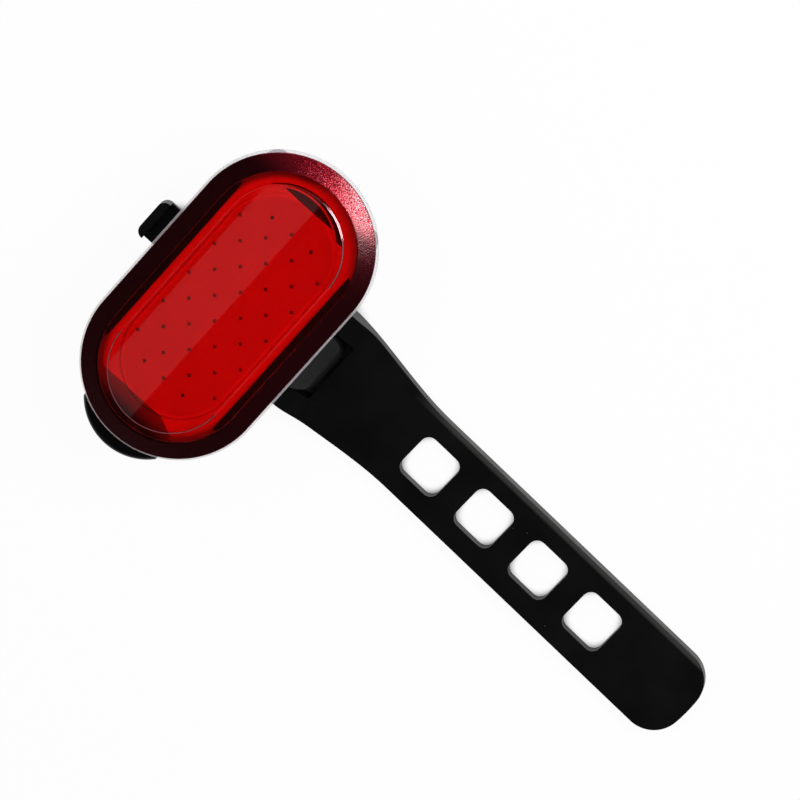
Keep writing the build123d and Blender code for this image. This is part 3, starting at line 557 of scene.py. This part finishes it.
def paintEnds(tree, place, colour):
    split = addNode(tree, "ShaderNodeSeparateXYZ", None, {0: place})
    x, y = split.outputs["X"], split.outputs["Y"]
    flat = addNode(tree, "ShaderNodeCombineXYZ", None, {0: x, 1: y})
    # the patch behind the line at the lower end, whose line bends away on the right
    past = addNode(tree, "ShaderNodeMath", {"operation": "SUBTRACT", 1: ends["bendX"] * mm}, {0: x})
    bent = addNode(tree, "ShaderNodeMath", {"operation": "MAXIMUM", 1: 0.0}, {0: past.outputs[0]})
    level = addNode(tree, "ShaderNodeMath", {"operation": "MULTIPLY_ADD", 1: ends["slope"]},
                    {0: bent.outputs[0], 2: y})
    behind = addNode(tree, "ShaderNodeMath", {"operation": "LESS_THAN", 1: -ends["lineY"] * mm},
                     {0: level.outputs[0]})
    within = addNode(tree, "ShaderNodeMath", {"operation": "GREATER_THAN", 1: ends["lowX"] * mm}, {0: x})
    under = addNode(tree, "ShaderNodeMath", {"operation": "MULTIPLY"}, {0: behind.outputs[0], 1: within.outputs[0]})
    # the almond at the upper end, and the thin crescent outside it: painted dark reflections
    near = []
    for cx, cy, radius in ends["lines"]:
        gap = addNode(tree, "ShaderNodeVectorMath", {"operation": "DISTANCE", 1: (cx * mm, cy * mm, 0)},
                      {0: flat.outputs[0]})
        near.append(addNode(tree, "ShaderNodeMath", {"operation": "LESS_THAN", 1: radius * mm},
                            {0: gap.outputs["Value"]}))
    upper = addNode(tree, "ShaderNodeMath", {"operation": "GREATER_THAN", 1: ends["lineY"] * mm}, {0: y})
    almond = addNode(tree, "ShaderNodeMath", {"operation": "MULTIPLY"}, {0: near[0].outputs[0], 1: upper.outputs[0]})
    ring = addNode(tree, "ShaderNodeMath", {"operation": "SUBTRACT"}, {0: near[2].outputs[0], 1: near[1].outputs[0]})
    high = addNode(tree, "ShaderNodeMath", {"operation": "GREATER_THAN", 1: ends["crescentY"] * mm}, {0: y})
    thin = addNode(tree, "ShaderNodeMath", {"operation": "MULTIPLY"}, {0: ring.outputs[0], 1: high.outputs[0]})
    over = addNode(tree, "ShaderNodeMath", {"operation": "MAXIMUM"}, {0: almond.outputs[0], 1: thin.outputs[0]})
    depth = addNode(tree, "ShaderNodeMapRange", {
        "From Min": ends["patchFrom"] * mm, "From Max": ends["patchTo"] * mm}, {"Value": y})
    dark = addNode(tree, "ShaderNodeMix", {"data_type": "RGBA", 6: fromHex(ends["near"]), 7: fromHex(ends["far"])},
                   {0: depth.outputs["Result"]})
    # the outermost band, painted darker away from the upper end: a painted shade
    out = addNode(tree, "ShaderNodeVectorMath", {"operation": "ABSOLUTE"}, {0: flat.outputs[0]})
    cornered = addNode(tree, "ShaderNodeVectorMath", {
        "operation": "SUBTRACT", 1: (0, lamp["endCentre"] * mm, 0)}, {0: out.outputs["Vector"]})
    clamped = addNode(tree, "ShaderNodeVectorMath", {"operation": "MAXIMUM", 1: (0, 0, 0)},
                      {0: cornered.outputs["Vector"]})
    reach = addNode(tree, "ShaderNodeVectorMath", {"operation": "LENGTH"}, {0: clamped.outputs["Vector"]})
    outer = addNode(tree, "ShaderNodeMapRange", {
        "From Min": ends["bandFrom"] * mm, "From Max": ends["bandTo"] * mm}, {"Value": reach.outputs["Value"]})
    along = addNode(tree, "ShaderNodeVectorMath", {"operation": "DOT_PRODUCT", 1: ends["awayWay"]}, {0: place})
    away = addNode(tree, "ShaderNodeMapRange", {
        "From Min": ends["awayFrom"] * mm, "From Max": ends["awayTo"] * mm}, {"Value": along.outputs["Value"]})
    band = addNode(tree, "ShaderNodeMath", {"operation": "MULTIPLY"},
                   {0: outer.outputs["Result"], 1: away.outputs["Result"]})
    dusk = addNode(tree, "ShaderNodeMix", {"data_type": "RGBA", 7: fromHex(ends["shade"])},
                   {0: band.outputs[0], 6: colour})
    low = addNode(tree, "ShaderNodeMix", {"data_type": "RGBA"},
                  {0: under.outputs[0], 6: dusk.outputs[2], 7: dark.outputs[2]})
    whole = addNode(tree, "ShaderNodeMix", {"data_type": "RGBA", 7: fromHex(ends["crescent"])},
                    {0: over.outputs[0], 6: low.outputs[2]})
    return whole.outputs[2]


# A paler band painted along one long edge of the strap. It stands for the lit, rounded edge in the
# photograph: the mesh's own edge is nearly sharp there
litEdgeBand = {"way": (0.0332, 0.9994, 0), "from": 7.95, "to": 8.5, "neck": 36.0, "full": 46.0, "colour": "#343433"}


def paintLitEdgeBand(tree, place, colour):
    across = addNode(tree, "ShaderNodeVectorMath", {"operation": "DOT_PRODUCT", 1: litEdgeBand["way"]}, {0: place})
    split = addNode(tree, "ShaderNodeSeparateXYZ", None, {0: place})
    beyond = addNode(tree, "ShaderNodeMapRange", {
        "From Min": litEdgeBand["neck"] * mm, "From Max": litEdgeBand["full"] * mm}, {"Value": split.outputs["X"]})
    edge = addNode(tree, "ShaderNodeMapRange", {
        "From Min": litEdgeBand["from"] * mm, "From Max": litEdgeBand["to"] * mm}, {"Value": across.outputs["Value"]})
    side = addNode(tree, "ShaderNodeMath", {"operation": "MULTIPLY"},
                   {0: beyond.outputs["Result"], 1: edge.outputs["Result"]})
    # the paler band: a painted highlight along the lit edge
    dustAndLitEdge = addNode(tree, "ShaderNodeMix", {"data_type": "RGBA", 7: fromHex(litEdgeBand["colour"])},
                    {0: side.outputs[0], 6: colour})
    return dustAndLitEdge.outputs[2]


# the strap's rubber, with a painted highlight band along one long edge
made["strapSilicone"] = mouldedMaterial("strapLitEdge", moulded["strapSilicone"], paintLitEdgeBand)
made["diffuserOpal"] = mouldedMaterial("diffuserPitted", moulded["diffuserOpal"], paintPits)
made["trayAbs"] = mouldedMaterial("trayPainted", moulded["trayAbs"], paintEnds)
print("materials made:", len(made))


def finish(piece, body, slotName, material, *replaced):
    if material:
        piece.data.materials.clear()
        piece.data.materials.append(made[material])
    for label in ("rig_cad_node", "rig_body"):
        if label in piece:
            del piece[label]
    smoothFaces(piece, 32)
    useModifier(piece, "WEIGHTED_NORMAL", {"mode": "FACE_AREA", "weight": 60, "keep_sharp": True})
    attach(piece, body)
    if replaced:
        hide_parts(*replaced)
    clearSelection()
    return piece


# CAD nodes that keep their shape and get their finish
kept = {
    "circuit_board": "boardEpoxy", "led_chips": "ledResin", "controller_chip": "chipEpoxy",
    "charger_chip": "chipEpoxy", "charge_indicator": "ledResin", "battery_cell": "cellLaminate",
    "battery_tabs": "tabNickel", "socket_shell": "socketSteel",
    "socket_tongue": "tongueNylon", "switch_body": "switchNylon", "switch_plunger": "plungerAcetal",
    "strap_pin": "pinSteel", "bracket_screws": "screwSteel",
}
for nodeName, material in kept.items():
    piece = nodes[nodeName]
    piece.data.materials.clear()
    piece.data.materials.append(made[material])
print("CAD nodes finished:", len(kept))


# Front lens: a skirt, a broad bevel, a gentle land and the raised window, hollow underneath
lens = {
    "length": 64.0, "width": 35.0, "skirtLow": 25.9, "skirtTop": 26.5,
    "bevelWidth": 3.0, "bevelHeight": 1.5,
    "landWidth": 3.1, "landHeight": 0.3, "windowStretch": 1.3, "windowHeight": 0.3,
    "windowPull": 0.7,  # its edge at the +Y end lies this much further in than in the solid
    "glintEnd": 14.0,
    "spigotInset": 3.0, "spigotDepth": 2.2, "spigotWall": 0.35, "ceiling": 26.9,
    "edge": 0.18,
}
shell = addStadium("frontLens", lens["length"], lens["width"], lens["skirtLow"], lens["skirtTop"])
startEdit(shell)
selectFaces(shell, lambda place, normal: normal.z > 0.9)
bpy.ops.mesh.inset(thickness=lens["bevelWidth"] * mm, depth=lens["bevelHeight"] * mm)
bpy.ops.mesh.inset(thickness=lens["landWidth"] * mm, depth=lens["landHeight"] * mm)
landTop = lens["skirtTop"] + lens["bevelHeight"] + lens["landHeight"]
spreadEnds(shell, lens["windowStretch"], landTop - 0.01, landTop + 0.01)
selectVerts(shell, lambda place: place.z > landTop - 0.01 and place.y > 0)
bpy.ops.transform.translate(value=(0, -lens["windowPull"] * mm, 0))
bpy.ops.mesh.select_mode(type="FACE")
selectFaces(shell, lambda place, normal: normal.z > 0.9 and place.z > landTop - 0.01)
moveUp(lens["windowHeight"])
selectFaces(shell, lambda place, normal: normal.z < -0.9)
bpy.ops.mesh.inset(thickness=lens["spigotInset"] * mm)
moveUp(-lens["spigotDepth"])
bpy.ops.mesh.inset(thickness=lens["spigotWall"] * mm)
moveUp(lens["ceiling"] - lens["skirtLow"] + lens["spigotDepth"])
endEdit()
faceOut(shell)
softenEdges(shell, lens["edge"], 3, 12)
finish(shell, "lamp", "red_lens", "lensPolished", "front_lens")
shell.data.materials.append(made["lensSparkled"])
shell.data.materials.append(made["lensGlint"])


def fromSpine(point, halfLength):  # distance from the line that joins the middles of the round ends
    return math.hypot(point.x, max(0.0, abs(point.y) - halfLength))


for face in shell.data.polygons:
    middle = face.center / mm
    if middle.z > lens["skirtTop"] - 0.05:
        if fromSpine(middle, lamp["endCentre"]) > lens["width"] / 2 - lens["bevelWidth"] - 0.2:
            face.material_index = 1
        elif middle.z > landTop - 0.05 and face.normal.z < 0.97:
            if middle.y < -lens["glintEnd"] or middle.x > 0 and middle.y > lens["glintEnd"]:
                face.material_index = 2  # painted highlight round the window's ends: these corner faces get the pale, mirror-like finish
print("front lens modelled")


# Clear ring, housing and bracket: their own solids, merged, with their moulded edges rounded
rounded = {
    "clear_ring": ("clearRing", 0.12, "clear_plastic", "ringAcrylic"),
    "rear_housing": ("rearHousing", 0.15, "housing_plastic", "housingAbs"),
    "mount_bracket": ("mountBracket", 0.3, "bracket_plastic", "bracketNylon"),
}
for nodeName, (name, edge, slotName, material) in rounded.items():
    finish(copyOfNode(nodeName, name, edge), "lamp", slotName, material)
print("ring, housing and bracket modelled")


# Strap: a flat rubber tongue that widens to its hub and lies a little askew
strapLook = {
    "hubRadius": 3.0, "halfRoot": 11.1, "rootStart": 14.0, "neckStart": 18.0, "neckEnd": 44.0,
    "leadIn": 7.0, "leadOut": 9.0, "halfWidth": 8.5, "thickness": 3.0, "lean": 1.9,
    # the tip's corner: where it leaves the side, where it meets the bow, and its handles
    "tip": ((106.09, 8.5), (109.29, 8.5), (111.96, 6.07), (112.26, 2.88), (112.44, 0.96)),
    "fairingEnd": 26.0, "fairingLeadIn": 21.0, "fairingLeadOut": 22.0,
    "holeStart": 47.2, "holePitch": 13.7, "holes": 4, "holeSize": 8.9, "holeCorner": 1.8,
    "notchEnd": 22.4, "notchWidth": 13.0, "notchCorner": 0.7, "pinHole": 1.25, "pinHalf": 10.0,
    "edge": 1.3, "holeEdge": 0.22,
}


def leaned(x, y):
    c, d = math.cos(math.radians(strapLook["lean"])), math.sin(math.radians(strapLook["lean"]))
    start = strapLook["neckStart"]
    return (start + (x - start) * c + y * d, y * c - (x - start) * d)


look = strapLook
half, root = look["halfWidth"], look["halfRoot"]
rest, top = lamp["restLevel"], lamp["restLevel"] + 2 * look["hubRadius"]
side, handleOut, handleIn, bow, bowHandle = look["tip"]
plan = [
    sharp(look["rootStart"], -root),
    ((look["neckStart"], -root), (look["neckStart"], -root), (look["neckStart"] + look["leadIn"], -root)),
    (leaned(look["neckEnd"] - look["leadOut"], -half), leaned(look["neckEnd"], -half),
     leaned(look["neckEnd"], -half)),
    (leaned(side[0], -side[1]), leaned(side[0], -side[1]), leaned(handleOut[0], -handleOut[1])),
    (leaned(handleIn[0], -handleIn[1]), leaned(bow[0], -bow[1]), leaned(bowHandle[0], -bowHandle[1])),
    (leaned(*bowHandle), leaned(*bow), leaned(*handleIn)),
    (leaned(*handleOut), leaned(*side), leaned(*side)),
    (leaned(look["neckEnd"], half), leaned(look["neckEnd"], half), leaned(look["neckEnd"] - look["leadOut"], half)),
    ((look["neckStart"] + look["leadIn"], root), (look["neckStart"], root), (look["neckStart"], root)),
    sharp(look["rootStart"], root),
]
strap = outlineSolid("strap", [plan], rest, top, steps=16)
hubX, hubZ, hubR = lamp["pinX"], lamp["pinLevel"], look["hubRadius"]
round4 = hubR * 0.5523
flatTop = rest + look["thickness"]
profile = [
    ((hubX - round4, rest), (hubX, rest), (hubX, rest)),
    sharp(130, rest),
    sharp(130, flatTop),
    ((look["fairingEnd"], flatTop), (look["fairingEnd"], flatTop), (look["fairingLeadOut"], flatTop)),
    ((look["fairingLeadIn"], top), (hubX, top), (hubX - round4, top)),
    ((hubX - hubR, hubZ + round4), (hubX - hubR, hubZ), (hubX - hubR, hubZ - round4)),
]
profileSolid = outlineSolid("profile", [profile], -20, 20, steps=14, upright=True)
cutAway(strap, profileSolid, "INTERSECT")
softenEdges(strap, look["edge"], 4, 40)  # clamped by the outline's short segments: stays nearly sharp
turn = -math.radians(look["lean"])
holeLoops = []
for index in range(look["holes"]):
    middle = leaned(look["holeStart"] + index * look["holePitch"], 0)
    holeLoops.append(roundedLoop(middle, look["holeSize"], look["holeSize"], look["holeCorner"], turn))
cutAway(strap, outlineSolid("holes", holeLoops, 5, 14, steps=6))
notchWide = look["notchEnd"] - 5
notch = roundedLoop((5 + notchWide / 2, 0), notchWide, look["notchWidth"], look["notchCorner"])
cutAway(strap, outlineSolid("notch", [notch], 5, 15, steps=4))
softenEdges(strap, look["holeEdge"], 2, 50)
cutAway(strap, addRod("pinHole", look["pinHole"], (hubX, -look["pinHalf"], hubZ), (hubX, look["pinHalf"], hubZ)))
finish(strap, "strap", "strap_rubber", "strapSilicone", "strap")
print("strap modelled")


# Saddle pad: a rubber block hollowed to the post, with grooves across it for grip
pad = {
    "width": 27.0, "length": 50.0, "corner": 4.0, "top": 15.2, "edge": 0.6, "saddle": 13.7,
    "pegRadius": 1.5, "pegY": 14.0, "pegTop": 16.8,
    "grooves": 11, "groovePitch": 4.2, "grooveWidth": 1.2, "grooveDepth": 0.45,
}
saddle = outlineSolid("saddlePad", [roundedLoop((0, 0), pad["width"], pad["length"], pad["corner"])],
                      lamp["restLevel"], pad["top"], edge=pad["edge"])
cutAway(saddle, addRod("post", pad["saddle"], (0, -30, 0), (0, 30, 0), 128))
for index in range(pad["grooves"]):
    y = (index - (pad["grooves"] - 1) / 2) * pad["groovePitch"]
    w = pad["grooveWidth"] / 2
    cutAway(saddle, addRod("groove", pad["saddle"] + pad["grooveDepth"], (0, y - w, 0), (0, y + w, 0), 128))
for side in (-1, 1):
    y = side * pad["pegY"]
    cutAway(saddle, addRod("peg", pad["pegRadius"], (0, y, pad["top"] - 1), (0, y, pad["pegTop"]), 32), "UNION")
softenEdges(saddle, 0.12, 2, 50)
finish(saddle, "lamp", "pad_rubber", "padSilicone", "saddle_pad")
print("saddle pad modelled")


# Power button: a rubber crescent under the lamp's end, with the neck and post behind it
button = {
    "halfWidth": 8.8, "hornY": -31.147, "frontY": -35.3, "frontHandle": 3.405, "slope": (0.6357, 0.7719),
    "backY": -20.0, "seatRadius": 17.7, "low": 17.8, "high": 24.0, "edge": 1.15,
    "neck": ((-5.3, -33.3, 19.5), (5.3, -25.2, 22.3)),
    "flange": ((-7.2, -26.0, 19.5), (7.2, -25.2, 22.3)),
    "post": ((-1.2, -25.4, 20.0), (1.2, -24.2, 21.8)),
}
w, f = button["halfWidth"], button["frontHandle"]
sx, sy = button["slope"]
horn = button["hornY"]
front = [
    ((-w, horn), (-w, horn), (-w + f * sx, horn - f * sy)),
    ((-f, button["frontY"]), (0, button["frontY"]), (f, button["frontY"])),
    ((w - f * sx, horn - f * sy), (w, horn), (w, horn)),
    sharp(w, button["backY"]),
    sharp(-w, button["backY"]),
]
cap = outlineSolid("powerButton", [front], button["low"], button["high"], edge=button["edge"], steps=20)
end = -lamp["endCentre"]
cutAway(cap, addRod("seat", button["seatRadius"], (0, end, 10), (0, end, 30), 160))
softenEdges(cap, 0.2, 2, 50)
for part in ("neck", "flange", "post"):
    stem = addBlock(part, *button[part])
    softenEdges(stem, 0.3, 2)
    cutAway(cap, stem, "UNION")
finish(cap, "power_button", "button_rubber", "buttonSilicone", "power_button")
print("power button modelled")


# Reflector tray: its own solid with the rails' slots moved out to its edge, and a flange at each end
tray = {
    "slotIn": 11.2, "slotOut": 12.7, "slotHalf": 19.0, "slotLow": 25.15, "top": 26.0,
    "ledgeHalf": 18.85, "endRadius": 14.1, "flangeLow": 25.3, "edge": 0.08,
}
frameTray = copyOfNode("reflector_tray", "reflectorTray")
for side in (-1, 1):
    inner, outer = sorted((side * tray["slotIn"], side * tray["slotOut"]))
    cutAway(frameTray, addBlock("filler", (inner, -tray["slotHalf"], tray["slotLow"]),
                                (outer, tray["slotHalf"], tray["top"])), "UNION")
flange = addStadium("flange", 2 * (lamp["endCentre"] + tray["endRadius"]), 2 * tray["endRadius"],
                    tray["flangeLow"], tray["top"])
cutAway(flange, addStadium("inside", 55.6, 26.6, tray["flangeLow"] - 1, tray["top"] + 1))
cutAway(frameTray, flange, "UNION")
for side in (-1, 1):
    inner, outer = sorted((side * tray["slotOut"], side * (tray["endRadius"] + 1)))
    cutAway(frameTray, addBlock("ledge", (inner, -tray["ledgeHalf"], tray["slotLow"]),
                                (outer, tray["ledgeHalf"], tray["top"] + 1)))
faceOut(frameTray)
softenEdges(frameTray, tray["edge"], 2, 50)
finish(frameTray, "lamp", "tray_plastic", "trayAbs")
print("tray modelled")


# Side rails: black bars in the tray's long edges, with a clip down at each end
rails = {
    "in": 12.72, "out": 13.95, "half": 18.0, "low": 25.2, "high": 26.6, "edge": 0.12,
    "clipIn": 17.7, "clipOut": 18.8, "clipHigh": 26.35, "clipX": (12.72, 13.5),
}
bars = []
for side in (-1, 1):
    inner, outer = sorted((side * rails["in"], side * rails["out"]))
    bar = addBlock("bar", (inner, -rails["half"], rails["low"]), (outer, rails["half"], rails["high"]))
    for end in (-1, 1):
        near, far = sorted((end * rails["clipIn"], end * rails["clipOut"]))
        inner, outer = sorted(side * value for value in rails["clipX"])
        cutAway(bar, addBlock("clip", (inner, near, rails["low"]), (outer, far, rails["clipHigh"])), "UNION")
    bars.append(bar)
clearSelection()
for bar in bars:
    bar.select_set(True)
bpy.context.view_layer.objects.active = bars[0]
bpy.ops.object.join()
railPair = settle(bpy.context.object, "sideRails")
softenEdges(railPair, rails["edge"], 2)
finish(railPair, "lamp", "rail_plastic", "railAbs", "side_rails")
print("side rails modelled")


# Dotted panel: its own solid, with the round on its upper edge that catches the light
panel = {"top": 26.3, "edgeFrom": 10.6, "endCentre": 13.4, "round": 0.55, "grow": (1.0105, 1.005, 1)}
sheet = copyOfNode("dotted_panel", "dottedPanel")
startEdit(sheet, "VERT")
selectVerts(sheet, lambda place: fromSpine(place, panel["endCentre"]) > panel["edgeFrom"])
bpy.ops.transform.resize(value=panel["grow"])
endEdit()
startEdit(sheet, "EDGE")
shape = bmesh.from_edit_mesh(sheet.data)
for line in shape.edges:
    a, b = (v.co / mm for v in line.verts)
    outside = min(fromSpine(a, panel["endCentre"]), fromSpine(b, panel["endCentre"])) > panel["edgeFrom"]
    line.select_set(outside and min(a.z, b.z) > panel["top"] - 0.01)
bmesh.update_edit_mesh(sheet.data)
bpy.ops.mesh.bevel(offset=panel["round"] * mm, segments=4, affect="EDGES", clamp_overlap=True)
endEdit()
finish(sheet, "lamp", "diffuser_plastic", "diffuserOpal")
print("panel modelled")


# Port cover, seal and foam: rubber and foam, with the soft edges that such mouldings have
softPieces = {
    "port_cover": ("portCover", "port_cover", 0.25, "cover_rubber", "buttonSilicone"),
    "rim_seal": ("rimSeal", "lamp", 0.1, "seal_rubber", "sealSilicone"),
    "battery_foam": ("batteryFoam", "lamp", 0.2, "foam", "cellFoam"),
}
for nodeName, (name, body, edge, slotName, material) in softPieces.items():
    finish(copyOfNode(nodeName, name, edge), body, slotName, material)
print("cover, seal and foam modelled")


# Floor and light
studio = {
    "floorHalf": 2.5, "floorWhite": 0.88,
    "keyPlace": (0.215, 0.355, 0.48), "keySize": 0.27, "keyPower": 2.3,
    "fillPlace": (-0.5, -0.1, 0.9), "fillSize": 0.7, "fillPower": 3.0,
    "cardPlace": (-0.005, -0.0705, 0.3286), "cardSize": (0.0118, 0.066), "cardPower": 0.0005,
    "worldDim": 0.35, "overhead": 0.03, "paleTop": 0.14, "paleFull": 0.03,
    # how open the floor has to be, as ambient occlusion gives it, before it glows and before it pales
    "gapReach": 0.012, "glowFrom": 0.28, "glowTo": 0.46, "glowMost": 0.95, "paleFrom": 0.1, "paleTo": 0.48,
    "gapTone": 0.02,
}


def addLamp(name, place, target, size, power):
    data = bpy.data.lights.new(name, "AREA")
    if isinstance(size, tuple):
        data.shape = "RECTANGLE"
        data.size, data.size_y = size
    else:
        data.size = size
    data.energy = power
    light = bpy.data.objects.new(name, data)
    bpy.context.scene.collection.objects.link(light)
    aim = (Vector(target) - Vector(place)).to_track_quat("-Z", "Y")
    light.location, light.rotation_euler = place, aim.to_euler()
    return light


addLamp("keyLamp", studio["keyPlace"], (0, 0, 0.02), studio["keySize"], studio["keyPower"])
fill = addLamp("fillLamp", studio["fillPlace"], (0.03, 0, 0.01), studio["fillSize"], studio["fillPower"])
fill.visible_glossy = False
card = addLamp("topCard", studio["cardPlace"], (0, 0, 0), studio["cardSize"], studio["cardPower"])
card.rotation_euler = (0, 0, 0)

clearSelection()
bpy.ops.mesh.primitive_plane_add(size=2 * studio["floorHalf"], location=(0, 0, lamp["restLevel"] * mm))
floor = settle(bpy.context.object, "floor")
material, tree = newMaterial("paperFloor")  # plain white paper: matt, and white to the camera
glow = addNode(tree, "ShaderNodeEmission", {"Strength": 1.0})
path = addNode(tree, "ShaderNodeLightPath")
seen = addNode(tree, "ShaderNodeMath", {"operation": "MAXIMUM"},
               {0: path.outputs["Is Camera Ray"], 1: path.outputs["Is Glossy Ray"]})
also = addNode(tree, "ShaderNodeMath", {"operation": "MAXIMUM"},
               {0: seen.outputs[0], 1: path.outputs["Is Transmission Ray"]})
# narrow gaps under and between the pieces stay in shadow, and the open paper is white
nearby = addNode(tree, "ShaderNodeAmbientOcclusion", {"samples": 32, "Distance": studio["gapReach"]})
openly = addNode(tree, "ShaderNodeMapRange", {
    "From Min": studio["glowFrom"], "From Max": studio["glowTo"], "To Max": studio["glowMost"]},
    {"Value": nearby.outputs["AO"]})
share = addNode(tree, "ShaderNodeMath", {"operation": "MULTIPLY"}, {0: also.outputs[0], 1: openly.outputs[0]})
tone = addNode(tree, "ShaderNodeMapRange", {
    "From Min": studio["paleFrom"], "From Max": studio["paleTo"], "To Min": studio["gapTone"],
    "To Max": studio["floorWhite"]}, {"Value": nearby.outputs["AO"]})
diffuse = addNode(tree, "ShaderNodeBsdfDiffuse", None, {"Color": tone.outputs[0]})
paper = addNode(tree, "ShaderNodeMixShader", None,
                {0: share.outputs[0], 1: diffuse.outputs[0], 2: glow.outputs[0]})
addNode(tree, "ShaderNodeOutputMaterial", None, {"Surface": paper.outputs[0]})
floor.data.materials.append(material)

world = bpy.data.worlds.new("studio")
bpy.context.scene.world = world
world.use_nodes = True
tree = world.node_tree
tree.nodes.clear()
white = addNode(tree, "ShaderNodeBackground", {"Strength": 1.0})
ways = addNode(tree, "ShaderNodeTexCoord")
parts = addNode(tree, "ShaderNodeSeparateXYZ", None, {0: ways.outputs["Generated"]})
low = addNode(tree, "ShaderNodeMapRange", {
    "From Min": studio["paleTop"], "From Max": studio["paleFull"]}, {"Value": parts.outputs["Z"]})
path = addNode(tree, "ShaderNodeLightPath")
mirror = addNode(tree, "ShaderNodeMath", {"operation": "MAXIMUM"},
                 {0: path.outputs["Is Glossy Ray"], 1: path.outputs["Is Transmission Ray"]})
# overhead the studio is dark, so only the pale surround near the floor is mirrored
strength = addNode(tree, "ShaderNodeMapRange", {
    "To Min": studio["worldDim"], "To Max": studio["overhead"]}, {"Value": mirror.outputs[0]})
dim = addNode(tree, "ShaderNodeBackground", None, {"Strength": strength.outputs[0]})
mirrored = addNode(tree, "ShaderNodeMath", {"operation": "MULTIPLY"},
                   {0: mirror.outputs[0], 1: low.outputs[0]})
whole = addNode(tree, "ShaderNodeMath", {"operation": "MAXIMUM"},
                {0: path.outputs["Is Camera Ray"], 1: mirrored.outputs[0]})
both = addNode(tree, "ShaderNodeMixShader", None,
               {0: whole.outputs[0], 1: dim.outputs[0], 2: white.outputs[0]})
addNode(tree, "ShaderNodeOutputWorld", None, {"Surface": both.outputs[0]})
print("floor and light set")
